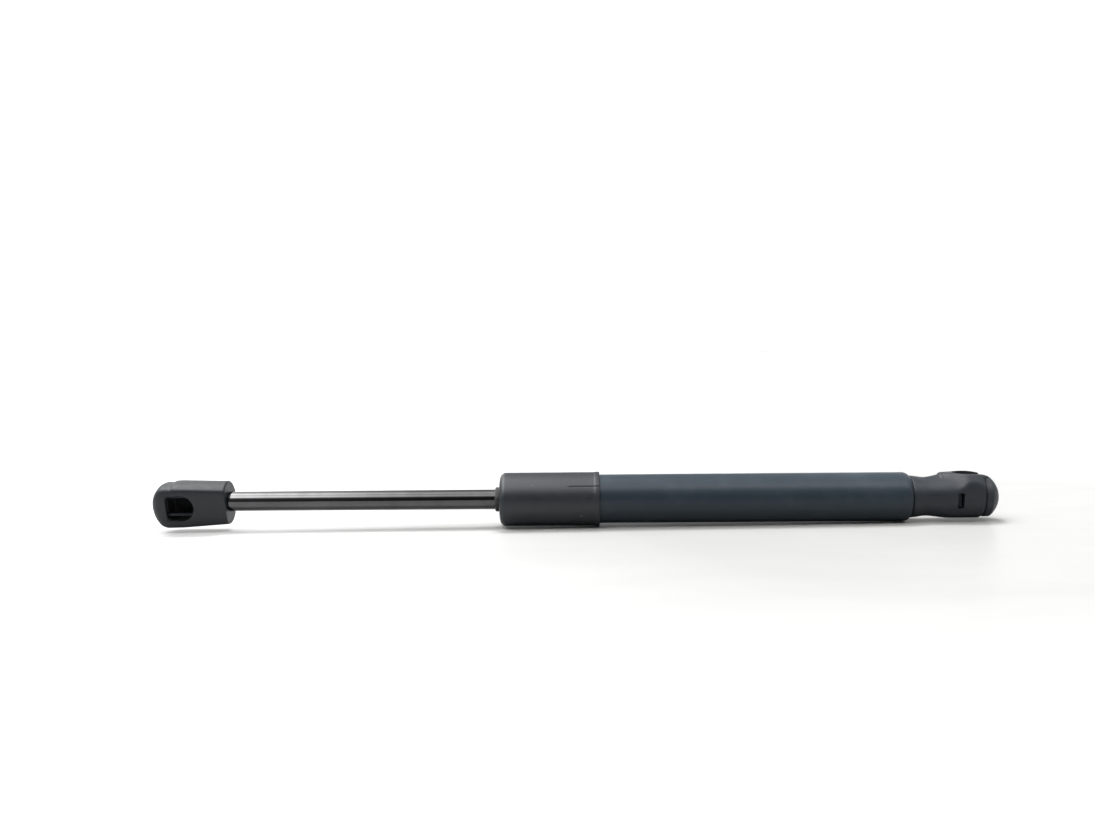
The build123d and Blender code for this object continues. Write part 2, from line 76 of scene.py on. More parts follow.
def mount(name):
    """A mount's place in millimetres and its axis."""
    found = next(m for m in frame["record"]["mounts"] if m["name"] == name)
    return Vector(found["pos_m"]) / MM, Vector(found["axis"])


def reach(node):
    """Where a turned node starts and ends along X, and its radius, in millimetres."""
    low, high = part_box(node)
    return mm(low.x), mm(high.x), mm(high.z)


TUBE_START, TUBE_END, TUBE_RADIUS = reach("pressure_tube")
SLEEVE_START, SLEEVE_END, SLEEVE_RIM = reach("protective_sleeve")
WIPER_START, WIPER_END, WIPER_FLANGE = reach("wiper_ring")
ROD_START, ROD_END, ROD_RADIUS = reach("piston_rod")
SOCKET_START, SEAM, SOCKET_FACE = reach("tube_end_socket")
NOSE_TIP = reach("tube_end_nose_cap")[1]
ROD_NOSE_TIP = NOSE_TIP + 0.35
SOCKET_BODY = -mm(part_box("tube_end_socket")[0].z)
CAP_RADIUS = mm(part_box("tube_end_nose_cap")[1].z)
ROD_BALL, ROD_MOUTH = mount("rod_end_ball")
ROD_CLOCKING = math.atan2(-ROD_MOUTH.y, ROD_MOUTH.z)

# The tube and the sleeve, in millimetres
TUBE_ROLL = 3.3
TUBE_WALL = 1.2
SLEEVE_WALL = 0.95
SLEEVE_EDGE = 2.4
SLEEVE_BEAD = 0.12
SLEEVE_HOLE = 5.0
SLIT_LENGTH = 11.7
SLIT_HALF_WIDTH = 0.07
SLIT_TURN = -35

# The hollow of a ball socket: its round seat, its mouth and the room for the clip
SEAT_RADIUS = 5.1
MOUTH_RADIUS = 5.5
MOUTH_START = 5.0
MOUTH_FLARE = 0.35
LEG_INNER = 3.15
LEG_OUTER = 4.45
LUG_OUTER = 6.25
CLIP_LOW = 3.7
CLIP_HIGH = 4.95
BRIDGE_END = 8.6
WINDOW_START = -5.7
WINDOW_END = -3.3

# The tube-end socket
COLLAR_START = SOCKET_START - 0.15
COLLAR_RADIUS = 8.35
WAIST_X = -16.5
WAIST_RADIUS = 7.7
STUD_RADIUS = 4.02
STUD_HOLE_END = -10.2
FACE_HEIGHT = 9.55
FACE_HALF_WIDTH = 6.3
RIDGE_START = -10.1
RIDGE_FOOT = 8.4
RIDGE_HALF_WIDTH = 1.7
RIDGE_LENGTH = 7.1
RIDGE_SPREAD = 3.85
FLANK_LEAN = math.radians(31)
FLANK_SIDE = 8.5
BOSS_END = 6.0
GROOVE = 5.1
GROOVE_WIDTH = 0.5
GROOVE_DEPTH = 0.7
GROOVE_TOP = 8.2
DOME_START = 8.1
TUBE_NOTCH_END = 7.5
TUBE_NOTCH_HALF = 3.4

# The rod-end socket, whose shank starts so far before its ball
SHANK_LENGTH = 18.7
SHANK_EDGE = 0.6
SHANK_RADIUS = 8.85
HEAD_RADIUS = 9.7
NOSE_RADIUS = 9.1
THREAD_RADIUS = 3.02
THREAD_HOLE_END = -9.3
ROD_FLAT = 6.25
FLAT_DEPTH = ROD_FLAT - 0.15
STEP_START = 2.2
STEP_LENGTH = 1.6
DROOP = math.radians(-1.4)
SAG = 0.4
ROD_NOTCH_END = 5.7
ROD_NOTCH_HALF = 5.25


# ---------------------------------------------------------------- mesh helpers

def arc(x, radius, bend, first, last, steps):
    """Points of an arc about (x, radius) with a bend radius, from a first to a last angle."""
    points = []
    for step in range(steps + 1):
        angle = math.radians(first + (last - first) * step / steps)
        points.append((x + bend * math.cos(angle), radius + bend * math.sin(angle)))
    return points


def ease(start, end, share):
    """A smooth step from start to end as share goes from 0 to 1."""
    return start + (end - start) * (3 - 2 * share) * share * share


def object_from(name, bm):
    """A new object from a bmesh, smooth except at its sharp edges."""
    mesh = bpy.data.meshes.new(name)
    bmesh.ops.recalc_face_normals(bm, faces=bm.faces)
    bm.to_mesh(mesh)
    bm.free()
    mesh.shade_smooth()
    mesh.set_sharp_from_angle(angle=SHARP_ANGLE)
    piece = bpy.data.objects.new(name, mesh)
    bpy.context.scene.collection.objects.link(piece)
    return piece


def soft_max(one, two, blend):
    """The larger of two lengths, with a smooth change from one to the other."""
    share = max(blend - abs(one - two), 0) / blend
    return max(one, two) + share * share * blend / 4


def soft_min(one, two, blend):
    """The smaller of two lengths, with a smooth change from one to the other."""
    return -soft_max(-one, -two, blend)


def lathe(name, profile, loop=True):
    """An object turned about X from (x, radius) points in millimetres.

    A radius may also be a function of the angle, for a shape that isn't round.
    """
    bm = bmesh.new()
    rings = []
    for x, radius in profile:
        if radius == 0:
            rings.append([bm.verts.new((x * MM, 0, 0))])
            continue
        ring = []
        for step in range(SEGMENTS):
            angle = math.tau * step / SEGMENTS
            size = MM * (radius(angle) if callable(radius) else radius)
            ring.append(bm.verts.new((x * MM, size * math.cos(angle), size * math.sin(angle))))
        rings.append(ring)
    pairs = list(zip(rings, rings[1:]))
    if loop:
        pairs.append((rings[-1], rings[0]))
    for one, two in pairs:
        for step in range(SEGMENTS):
            after = (step + 1) % SEGMENTS
            corners = [
                one[step % len(one)], one[after % len(one)],
                two[after % len(two)], two[step % len(two)],
            ]
            corners = list(dict.fromkeys(corners))
            if len(corners) > 2:
                bm.faces.new(corners)
    return object_from(name, bm)


def block(name, low, high):
    """A closed box between two corners in millimetres, as a tool for carving."""
    bm = bmesh.new()
    bmesh.ops.create_cube(bm, size=1)
    for vert in bm.verts:
        vert.co = Vector((high[i] if vert.co[i] > 0 else low[i]) * MM for i in range(3))
    return object_from(name, bm)


def upright(name, rings):
    """A closed solid stacked along Z from outlines: each ring is (height, list of (x, y))."""
    bm = bmesh.new()
    layers = []
    for height, outline in rings:
        layers.append([bm.verts.new((x * MM, y * MM, height * MM)) for x, y in outline])
    count = len(layers[0])
    for one, two in zip(layers, layers[1:]):
        for step in range(count):
            after = (step + 1) % count
            bm.faces.new((one[step], one[after], two[after], two[step]))
    bm.faces.new(layers[0])
    bm.faces.new(layers[-1])
    return object_from(name, bm)


def circle(radius):
    """The outline of a circle about the ball's centre, in millimetres."""
    turns = (math.tau * step / CIRCLE_STEPS for step in range(CIRCLE_STEPS))
    return [(radius * math.cos(turn), radius * math.sin(turn)) for turn in turns]


def rounded_outline(start, end, half_width, corner):
    """The outline of a rectangle with round corners, in millimetres."""
    points = []
    middles = (
        (end - corner, half_width - corner, 0),
        (start + corner, half_width - corner, 90),
        (start + corner, corner - half_width, 180),
        (end - corner, corner - half_width, 270),
    )
    for x, y, turn in middles:
        points += arc(x, y, corner, turn, turn + 90, 12)
    return points


def apply_modifiers(piece):
    """Replaces an object's mesh by what its modifiers make of it."""
    graph = bpy.context.evaluated_depsgraph_get()
    mesh = bpy.data.meshes.new_from_object(piece.evaluated_get(graph))
    piece.modifiers.clear()
    piece.data = mesh
    return piece


def carve(piece, tools, operation):
    """Joins tools to a piece or cuts them out of it, and removes them."""
    for tool in tools:
        step = piece.modifiers.new("carve", "BOOLEAN")
        step.operation = operation
        step.solver = "EXACT"
        step.object = tool
        apply_modifiers(piece)
        bpy.data.objects.remove(tool)
    return piece


def mould(piece):
    """Gives a carved piece the small soft edges of a moulding."""
    remesh = piece.modifiers.new("remesh", "REMESH")
    remesh.mode = "VOXEL"
    remesh.voxel_size = VOXEL
    soften = piece.modifiers.new("soften", "SMOOTH")
    soften.factor = 0.5
    soften.iterations = 5
    lighten = piece.modifiers.new("lighten", "DECIMATE")
    lighten.ratio = 0.45
    apply_modifiers(piece)
    piece.data.shade_smooth()
    return piece


# ---------------------------------------------------------------- materials

class Nodes:
    """A short way to build a material's nodes, in millimetres of the piece's own frame."""

    def __init__(self, name):
        self.material = bpy.data.materials.new(name)
        self.material.use_nodes = True
        self.tree = self.material.node_tree
        self.shader = self.tree.nodes["Principled BSDF"]
        self.place = self.add("ShaderNodeTexCoord").outputs["Object"]

    def add(self, kind, **settings):
        """A new node with its settings."""
        node = self.tree.nodes.new(kind)
        for key, value in settings.items():
            setattr(node, key, value)
        return node

    def link(self, source, target):
        """Links an output to an input."""
        self.tree.links.new(source, target)

    def scaled(self, scale):
        """The place on the piece in metres, times a scale for each axis."""
        mapping = self.add("ShaderNodeMapping")
        mapping.inputs["Scale"].default_value = scale
        self.link(self.place, mapping.inputs["Vector"])
        return mapping.outputs["Vector"]

    def noise(self, per_mm, detail, density=(1, 1, 1)):
        """Noise with so many features to the millimetre, times a density for each axis."""
        node = self.add("ShaderNodeTexNoise")
        node.inputs["Scale"].default_value = 1.0
        node.inputs["Detail"].default_value = detail
        node.inputs["Roughness"].default_value = 0.55
        scale = tuple(per_mm / MM * share for share in density)
        self.link(self.scaled(scale), node.inputs["Vector"])
        return node.outputs["Fac"]

    def ramp(self, value, stops):
        """A colour ramp through (position, grey or colour) stops."""
        node = self.add("ShaderNodeValToRGB")
        for index, (position, colour) in enumerate(stops):
            elements = node.color_ramp.elements
            element = elements[index] if index < 2 else elements.new(position)
            element.position = position
            if isinstance(colour, (int, float)):
                colour = (colour, colour, colour)
            element.color = (*colour, 1)
        self.link(value, node.inputs["Fac"])
        return node.outputs["Color"]

    def mix(self, factor, one, two):
        """Mixes two colour outputs by a factor output."""
        node = self.add("ShaderNodeMix", data_type="RGBA")
        self.link(factor, node.inputs["Factor"])
        self.link(one, node.inputs["A"])
        self.link(two, node.inputs["B"])
        return node.outputs["Result"]

    def maths(self, operation, one, two):
        """One step of arithmetic on an output and an output or a number."""
        node = self.add("ShaderNodeMath", operation=operation)
        self.link(one, node.inputs[0])
        if isinstance(two, (int, float)):
            node.inputs[1].default_value = two
        else:
            self.link(two, node.inputs[1])
        return node.outputs["Value"]

    def dusted(self, tone, per_mm, size, share):
        """A colour with scattered pale specks, as dust and nicks leave them."""
        cells = self.add("ShaderNodeTexVoronoi")
        cells.inputs["Scale"].default_value = 1.0
        self.link(self.scaled((per_mm / MM,) * 3), cells.inputs["Vector"])
        near = self.maths("LESS_THAN", cells.outputs["Distance"], size)
        chosen = self.add("ShaderNodeSeparateColor")
        self.link(cells.outputs["Color"], chosen.inputs["Color"])
        picked = self.maths("LESS_THAN", chosen.outputs["Red"], share)
        speck = self.maths("MULTIPLY", near, picked)
        pale = self.ramp(chosen.outputs["Green"], [(0.0, 0.12), (1.0, 0.4)])
        return self.mix(speck, tone, pale)

    def bump(self, height, strength, distance):
        """Adds a bump of a height output on top of the bumps already there."""
        node = self.add("ShaderNodeBump")
        node.inputs["Strength"].default_value = strength
        node.inputs["Distance"].default_value = distance * MM
        self.link(height, node.inputs["Height"])
        before = self.shader.inputs["Normal"].links
        if before:
            self.link(before[0].from_socket, node.inputs["Normal"])
        self.link(node.outputs["Normal"], self.shader.inputs["Normal"])

    def set(self, **values):
        """Sets constant shader values by socket name, with _ for a space."""
        for key, value in values.items():
            self.shader.inputs[key.replace("_", " ")].default_value = value


def tube_paint():
    """Satin blue-black stoved paint: a little orange peel and a trace of haze."""
    m = Nodes("tube_paint")
    m.set(IOR=1.5, Specular_IOR_Level=0.22)
    deep, light = (0.0135, 0.0205, 0.0275), (0.0165, 0.0235, 0.031)
    tone = m.ramp(m.noise(0.12, 4), [(0.3, deep), (0.7, light)])
    haze = m.ramp(m.noise(0.06, 5), [(0.5, 0.0), (0.75, 0.1)])
    pale = m.ramp(m.noise(0.8, 2), [(0.3, (0.05, 0.066, 0.078)), (0.7, (0.08, 0.095, 0.11))])
    m.link(m.mix(haze, tone, pale), m.shader.inputs["Base Color"])
    m.link(m.ramp(m.noise(0.3, 4), [(0.3, 0.285), (0.75, 0.33)]), m.shader.inputs["Roughness"])
    m.bump(m.noise(0.5, 2), 0.06, 0.02)
    return m.material


def plastic(name, dark, light, roughness=(0.38, 0.5), grain=6.0, depth=0.012, dust=0.2, shine=0.4):
    """Moulded nylon: fine grain, uneven gloss, some dust, and a socket's hollow made darker: painted
    shade in the recess, with old grease.
    """
    m = Nodes(name)
    m.set(IOR=1.5, Specular_IOR_Level=shine)
    hollow = m.add("ShaderNodeAttribute", attribute_name="hollow").outputs["Fac"]
    tone = m.dusted(m.ramp(m.noise(0.2, 4), [(0.3, dark), (0.72, light)]), 0.3, 0.075, dust)
    deep, thin = (0.002, 0.0024, 0.003), (0.004, 0.0048, 0.0055)
    # Inside the marked hollow the colour is nearly black and duller: painted shade in the recess,
    # with old grease.
    grease = m.ramp(m.noise(0.9, 3), [(0.3, deep), (0.7, thin)])
    m.link(m.mix(hollow, tone, grease), m.shader.inputs["Base Color"])
    gloss = m.ramp(m.noise(0.6, 5), [(0.3, roughness[0]), (0.7, roughness[1])])
    dull = m.ramp(m.noise(0.9, 3), [(0.3, 0.7), (0.7, 0.85)])
    m.link(m.mix(hollow, gloss, dull), m.shader.inputs["Roughness"])
    m.bump(m.noise(grain, 3), 0.25, depth)
    m.bump(m.noise(0.35, 2), 0.2, 0.05)
    return m.material


def rod_steel():
    """Ground and nitrided steel: dark, nearly a mirror, with fine grinding marks round it."""
    m = Nodes("rod_steel")
    m.set(Metallic=1.0, Anisotropic=0.3)
    tone = m.ramp(m.noise(0.15, 3), [(0.3, (0.072, 0.072, 0.073)), (0.7, (0.09, 0.09, 0.092))])
    m.link(tone, m.shader.inputs["Base Color"])
    marks = m.noise(14, 2, (1, 0.02, 0.02))
    m.link(m.ramp(marks, [(0.3, 0.08), (0.7, 0.14)]), m.shader.inputs["Roughness"])
    m.bump(marks, 0.06, 0.002)
    return m.material


def rubber():
    """Matt black rubber with a dusty, slightly lumpy surface."""
    m = Nodes("seal_rubber")
    m.set(IOR=1.52)
    m.link(m.ramp(m.noise(1.2, 4), [(0.35, 0.012), (0.7, 0.03)]), m.shader.inputs["Base Color"])
    m.link(m.ramp(m.noise(2.0, 3), [(0.3, 0.6), (0.7, 0.8)]), m.shader.inputs["Roughness"])
    m.bump(m.noise(1.6, 3), 0.5, 0.06)
    return m.material


def metal(name, dark, light, roughness=(0.25, 0.4), density=(1, 0.05, 0.05)):
    """Turned or rolled metal with fine tool marks."""
    m = Nodes(name)
    m.set(Metallic=1.0)
    m.link(m.ramp(m.noise(0.4, 3), [(0.3, dark), (0.7, light)]), m.shader.inputs["Base Color"])
    marks = m.noise(8, 2, density)
    m.link(m.ramp(marks, [(0.3, roughness[0]), (0.7, roughness[1])]), m.shader.inputs["Roughness"])
    m.bump(marks, 0.15, 0.004)
    return m.material


# ---------------------------------------------------------------- pieces of the tube

def tube_shell():
    """The painted tube, rolled in at both ends."""
    inner = TUBE_ROLL - TUBE_WALL
    left = TUBE_START + TUBE_ROLL
    right = TUBE_END - TUBE_ROLL
    lip = TUBE_RADIUS - TUBE_ROLL
    profile = arc(left, lip, TUBE_ROLL, 180, 90, 16)
    profile += [(left + share * (right - left) / 40, TUBE_RADIUS) for share in range(1, 40)]
    profile += arc(right, lip, TUBE_ROLL, 90, 0, 16)
    profile += arc(right, lip, inner, 0, 90, 8) + arc(left, lip, inner, 90, 180, 8)
    return lathe("tube_shell", profile)


def sleeve_shell():
    """The plastic sleeve: rounded end, thin floor, bead at its open end and four slits."""
    radius = SLEEVE_RIM - SLEEVE_BEAD
    bore = radius - SLEEVE_WALL
    bead = SLEEVE_END - 2.0
    corner = SLEEVE_START + SLEEVE_EDGE
    outer = [(SLEEVE_START, SLEEVE_HOLE + 0.3), (SLEEVE_START, radius - SLEEVE_EDGE - 1.5)]
    outer += arc(corner, radius - SLEEVE_EDGE, SLEEVE_EDGE, 180, 90, 14)
    outer += [(corner + share * (bead - corner) / 12, radius) for share in range(1, 12)]
    outer += [(bead - 0.25, radius), (bead, radius + 0.02)]
    outer += [(bead + 0.12, SLEEVE_RIM - 0.03), (bead + 0.3, SLEEVE_RIM)]
    outer += [(SLEEVE_END - 0.45, SLEEVE_RIM), (SLEEVE_END - 0.12, SLEEVE_RIM - 0.12)]
    outer += [(SLEEVE_END, SLEEVE_RIM - 0.35), (SLEEVE_END, bore + 0.1), (SLEEVE_END - 0.1, bore)]
    inner = arc(corner, radius - SLEEVE_EDGE, SLEEVE_EDGE - SLEEVE_WALL, 90, 180, 8)
    inner += [(SLEEVE_START + SLEEVE_WALL, SLEEVE_HOLE), (SLEEVE_START + 0.3, SLEEVE_HOLE)]
    sleeve = lathe("sleeve_shell", outer + inner)
    slits = []
    for turn in range(4):
        low = (SLEEVE_END - SLIT_LENGTH, -14, -SLIT_HALF_WIDTH)
        slit = block("slit", low, (SLEEVE_END + 1, -7, SLIT_HALF_WIDTH))
        slit.data.transform(Matrix.Rotation(math.radians(SLIT_TURN + 90 * turn), 4, "X"))
        slits.append(slit)
    return carve(sleeve, slits, "DIFFERENCE")


def wiper_lip():
    """The rubber wiper's rim around the rod, a little lumpy where dust and grease sit."""
    bore = ROD_RADIUS + 0.05
    rim = WIPER_FLANGE - 1.4
    inside = SLEEVE_START + 1.0
    profile = [(WIPER_START + 0.25, bore), (WIPER_START + 0.05, bore + 0.2)]
    profile += arc(WIPER_START + 0.5, rim - 0.5, 0.5, 180, 90, 6)
    profile += [(WIPER_START + 1.0, rim), (SLEEVE_START - 0.35, rim - 0.02)]
    profile += [(SLEEVE_START - 0.15, rim - 0.15), (inside, rim - 0.15)]
    profile += [(inside + 0.05, WIPER_FLANGE), (WIPER_END, WIPER_FLANGE), (WIPER_END, bore)]
    piece = lathe("wiper_lip", profile)
    for vert in piece.data.vertices:
        if vert.co.x < (SLEEVE_START - 0.1) * MM and vert.co.yz.length > (bore + 0.3) * MM:
            angle = math.atan2(vert.co.z, vert.co.y)
            lump = 0.05 * math.sin(5 * angle + 1) + 0.04 * math.sin(11 * angle + 900 * vert.co.x)
            vert.co.yz *= 1 + lump / rim
    return piece


def rod_shaft():
    """The whole rod: threaded end, shoulder, ground shaft, tenon and riveted head."""
    shoulder = ROD_BALL.x + SHANK_LENGTH
    tenon = ROD_END - 12.1
    shaft = tenon - shoulder - 0.6
    pitch, root, crest = 1.0, 2.45, 3.0
    tenon_radius = 2.75
    profile = [(ROD_START, 0), (ROD_START, 2.2)]
    turns = int((shoulder - ROD_START - 0.8) / pitch)
    for turn in range(turns):
        x = ROD_START + 0.6 + turn * pitch
        profile += [(x, root), (x + 0.42 * pitch, crest), (x + 0.58 * pitch, crest)]
    profile += [(shoulder - 0.2, root), (shoulder, root), (shoulder, 3.7)]
    steps = 40
    profile += [(shoulder + 0.3 + shaft * step / steps, ROD_RADIUS) for step in range(steps + 1)]
    profile += [(tenon, 3.7), (tenon, tenon_radius)]
    profile += [(ROD_END - 1.1, tenon_radius), (ROD_END - 1.1, 3.8)]
    profile += [(ROD_END - 0.75, 3.3), (ROD_END - 0.25, 1.9), (ROD_END, 0)]
    return lathe("rod_shaft", profile, loop=False)


# ---------------------------------------------------------------- the ball sockets

def cavity(face):
    """Tools that hollow a socket: the round seat, its mouth and the mouth's flare."""
    seat = arc(0, 0, SEAT_RADIUS, 180, 270, 16)
    rings = sorted(((z, circle(max(-x, 0.05))) for x, z in seat), key=lambda ring: ring[0])
    rings.append((MOUTH_START, circle(SEAT_RADIUS)))
    mouth = [(MOUTH_START - 0.1, circle(MOUTH_RADIUS)), (face - 0.3, circle(MOUTH_RADIUS))]
    mouth += [(z, circle(MOUTH_RADIUS + MOUTH_FLARE)) for z in (face + 0.3, face + 2)]
    return [upright("seat", rings), upright("mouth", mouth)]


def leg_slots():
    """Tools that cut the slots for the clip's legs, open at the nose, and for their lugs."""
    tools = []
    for side in (-1, 1):
        for first, last, outer in ((WINDOW_START, SEAM + 1, LEG_OUTER), (-4.6, 4.6, LUG_OUTER)):
            near, far = sorted((side * LEG_INNER, side * outer))
            tools.append(block("slot", (first, near, CLIP_LOW), (last, far, CLIP_HIGH)))
    return tools


def window_tools():
    """Tools that cut the side windows and the way up to the clip's legs."""
    tools = []
    for side in (-1, 1):
        near, far = sorted((side * LEG_INNER, side * 12))
        tools.append(block("window", (WINDOW_START, near, -3.9), (WINDOW_END, far, 2.2)))
        near, far = sorted((side * (LEG_INNER + 0.01), side * LEG_OUTER))
        low = (WINDOW_START + 0.01, near, -3.4)
        tools.append(block("drop", low, (WINDOW_END - 0.01, far, CLIP_HIGH - 0.01)))
    return tools


def nose_dome(start, radius):
    """Points from a rim to the nose tip on an arc whose centre is on the axis."""
    middle = (NOSE_TIP**2 - start**2 - radius**2) / (2 * (NOSE_TIP - start))
    bend = NOSE_TIP - middle
    first = math.degrees(math.atan2(radius, start - middle))
    return arc(middle, 0, bend, first, 0, 20)[:-1] + [(NOSE_TIP, 0)]


def socket_radius(x):
    """The tube-end socket's round outline: its collar, waist and body, and the cap's step."""
    body, step = -6.8, 4.2
    if x < WAIST_X:
        return ease(COLLAR_RADIUS, WAIST_RADIUS, (x - COLLAR_START) / (WAIST_X - COLLAR_START))
    if x < step:
        return ease(WAIST_RADIUS, SOCKET_BODY, min((x - WAIST_X) / (body - WAIST_X), 1))
    return ease(SOCKET_BODY, CAP_RADIUS, min((x - step) / 0.3, 1))


def boss_outline(x):
    """Height and half width of the raised face, which narrows like a teardrop to the waist."""
    past = x - RIDGE_START
    if past < -1:
        return RIDGE_FOOT + 0.35 * (past + 1), RIDGE_HALF_WIDTH
    if past < 0:
        rise = FACE_HEIGHT - RIDGE_FOOT
        return RIDGE_FOOT + rise * math.sqrt(max(1 - past**2, 0)), RIDGE_HALF_WIDTH
    if x < RIDGE_START + RIDGE_LENGTH:
        return FACE_HEIGHT, RIDGE_HALF_WIDTH + past * RIDGE_SPREAD / RIDGE_LENGTH
    if x < 0:
        return FACE_HEIGHT, math.sqrt(FACE_HALF_WIDTH**2 - x**2)
    return FACE_HEIGHT - 0.02 * x * x, FACE_HALF_WIDTH - 0.03 * x * x


def boss_radius(x, angle):
    """How far the raised face's block reaches at a place along the socket, in one direction."""
    up, across = math.sin(angle), max(abs(math.cos(angle)), 1e-3)
    if x > BOSS_END or up < 0.02:
        return 0
    height, half_width = boss_outline(x)
    cosine, sine = math.cos(FLANK_LEAN), math.sin(FLANK_LEAN)
    slope = half_width * cosine + height * sine
    flank = soft_min(slope / (across * cosine + up * sine), FLANK_SIDE / across, 1.0)
    return soft_min(height / up, flank, 0.8)


def socket_ring(x):
    """The tube-end socket's outline across the axis: body, raised face and seam groove."""
    def ring(angle):
        body, boss = socket_radius(x), boss_radius(x, angle)
        if x > GROOVE and boss * math.sin(angle) < GROOVE_TOP:
            return body - GROOVE_DEPTH if x < GROOVE + GROOVE_WIDTH else body
        blend = 1.6 * min(max(math.sin(angle), 0.02) / 0.45, 1)
        return soft_max(body, boss, blend)
    return ring


def nose_notch(end, half_width, corner, face):
    """A tool that squares the mouth off towards the nose."""
    outline = rounded_outline(0, end, half_width, corner)
    return upright("notch", [(-2.0, outline), (face + 2, outline)])


def bridge_hollow():
    """A tool that hollows a nose cap for the clip's bridge."""
    return block("hollow", (SEAM - 1, -LEG_OUTER, CLIP_LOW), (BRIDGE_END, LEG_OUTER, CLIP_HIGH))


def split(piece, cutters):
    """Splits a moulded socket into its body and its nose cap, which is what the cutters hold."""
    cap = bpy.data.objects.new(piece.name + "_cap", piece.data.copy())
    bpy.context.scene.collection.objects.link(cap)
    for part, operation in ((cap, "INTERSECT"), (piece, "DIFFERENCE")):
        tool = block("cutter", *cutters[0])
        for low, high in cutters[1:]:
            carve(tool, [block("more", low, high)], "UNION")
        carve(part, [tool], operation)
        part.data.set_sharp_from_angle(angle=SHARP_ANGLE_MOULDED)
    return piece, cap


def shaded_and_greased(piece, face, end, half_width):
    """Marks a socket's hollow, from its seat up to its mouth, for a darker colour there: painted
    shade in the recess, with old grease.
    """
    marks = piece.data.attributes.new("hollow", "FLOAT", "POINT")
    for vert, mark in zip(piece.data.vertices, marks.data):
        x, y, z = vert.co / MM
        round_part = math.hypot(x, y) < MOUTH_RADIUS + 0.3
        squared_part = 0 < x < end and abs(y) < half_width
        if (round_part or squared_part) and -SEAT_RADIUS - 0.2 < z < face - 0.2:
            mark.value = 1
    return piece


def tube_socket():
    """The tube-end socket's body and nose cap, moulded as one and split at the seam groove."""
    steps = 150
    profile = [(SOCKET_START, STUD_RADIUS), (SOCKET_START, 6.5), (SOCKET_START - 0.42, 8.0)]
    profile += [(SOCKET_START - 0.36, 8.22)]
    for step in range(steps + 1):
        x = COLLAR_START + step * (DOME_START - COLLAR_START) / steps
        profile.append((x, socket_ring(x)))
    profile += nose_dome(DOME_START, CAP_RADIUS)[1:]
    profile += [(STUD_HOLE_END, 0), (STUD_HOLE_END, STUD_RADIUS)]
    body = lathe("tube_socket_body", profile)
    tools = cavity(SOCKET_FACE) + leg_slots() + window_tools()
    tools += [nose_notch(TUBE_NOTCH_END, TUBE_NOTCH_HALF, 1.0, SOCKET_FACE), bridge_hollow()]
    carve(body, tools, "DIFFERENCE")
    past_groove = ((GROOVE + GROOVE_WIDTH / 2, -20, -20), (30, 20, GROOVE_TOP + 0.05))
    past_face = ((BOSS_END + 0.05, -20, -19), (29, 19, 20))
    parts = split(mould(body), [past_groove, past_face])
    return [shaded_and_greased(part, SOCKET_FACE, TUBE_NOTCH_END + 0.1, TUBE_NOTCH_HALF + 0.2) for part in parts]


def onto_rod(piece):
    """Moves a piece from a socket's own frame to the rod end, turned and drooping a little."""
    place = Matrix.Translation((ROD_BALL.x * MM, 0, 0))
    turn = Matrix.Rotation(ROD_CLOCKING, 4, "X")
    flip = Matrix.Scale(-1, 4, (1, 0, 0))
    joint = Matrix.Translation(((ROD_BALL.x + SHANK_LENGTH) * MM, 0, 0))
    droop = joint @ Matrix.Rotation(DROOP, 4, "Y") @ joint.inverted()
    sag = Matrix.Translation((0, 0, -SAG * MM))
    piece.data.transform(sag @ droop @ place @ turn @ flip)
    piece.data.flip_normals()
    return piece


def rod_nose():
    """Points of the rod-end nose: a rounded shoulder that runs smoothly into a shallow dome."""
    bend, dome_bend = 5.0, 11.0
    middle = ROD_NOSE_TIP - dome_bend
    span = dome_bend - bend
    shoulder = middle + math.sqrt(span**2 - (NOSE_RADIUS - bend) ** 2)
    turn = math.degrees(math.acos((shoulder - middle) / span))
    points = arc(shoulder, NOSE_RADIUS - bend, bend, 90, turn, 14)
    return points + arc(middle, 0, dome_bend, turn, 0, 12)[1:-1]


def rod_ring(x, radius):
    """The rod-end socket's outline across the axis: a soft-edged flat, and a step on one side."""
    def ring(angle):
        size = radius
        if x > STEP_START:
            filled = 1 - max(math.cos(angle), 0) ** 4
            share = ease(0, 1, min((x - STEP_START) / STEP_LENGTH, 1))
            size += (radius / NOSE_RADIUS) * (HEAD_RADIUS - NOSE_RADIUS) * filled * share
        up = math.sin(angle)
        if up < 0.02:
            return size
        return soft_min(size, FLAT_DEPTH / up, 1.8 + 0.25 * max(x, 0))
    return ring


def rod_socket():
    """The rod-end socket's body and cap: thick shank with one flat side and a round head."""
    edge = SHANK_EDGE - SHANK_LENGTH
    outline = arc(edge, SHANK_RADIUS - SHANK_EDGE, SHANK_EDGE, 180, 90, 5)
    outline += [(edge + 0.7 * step, SHANK_RADIUS + 0.033 * step) for step in range(1, 26)]
    outline.append((0, HEAD_RADIUS))
    for step in range(9):
        x = STEP_START + STEP_LENGTH * step / 8
        outline.append((x, ease(HEAD_RADIUS, NOSE_RADIUS, step / 8)))
    outline += rod_nose()
    profile = [(-SHANK_LENGTH, THREAD_RADIUS)]
    profile += [(x, rod_ring(x, radius)) for x, radius in outline]
    profile += [(ROD_NOSE_TIP, 0), (THREAD_HOLE_END, 0), (THREAD_HOLE_END, THREAD_RADIUS)]
    body = lathe("rod_socket_body", profile)
    tools = [bridge_hollow()] + cavity(ROD_FLAT) + leg_slots()
    tools.append(nose_notch(ROD_NOTCH_END, ROD_NOTCH_HALF, 2.2, ROD_FLAT))
    carve(body, tools, "DIFFERENCE")
    parts = split(mould(body), [((SEAM, -20, -20), (30, 20, 20))])
    end, half_width = ROD_NOTCH_END + 0.2, ROD_NOTCH_HALF + 0.2
    return [onto_rod(shaded_and_greased(part, ROD_FLAT, end, half_width)) for part in parts]


def dressed(piece, material, body, slot, *nodes):
    """Gives a piece its material and body, and hides the CAD nodes that it stands for; the slot is
    not used.
    """
    piece.data.materials.clear()
    piece.data.materials.append(material)
    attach(piece, body)
    if nodes:
        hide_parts(*nodes)
    return piece


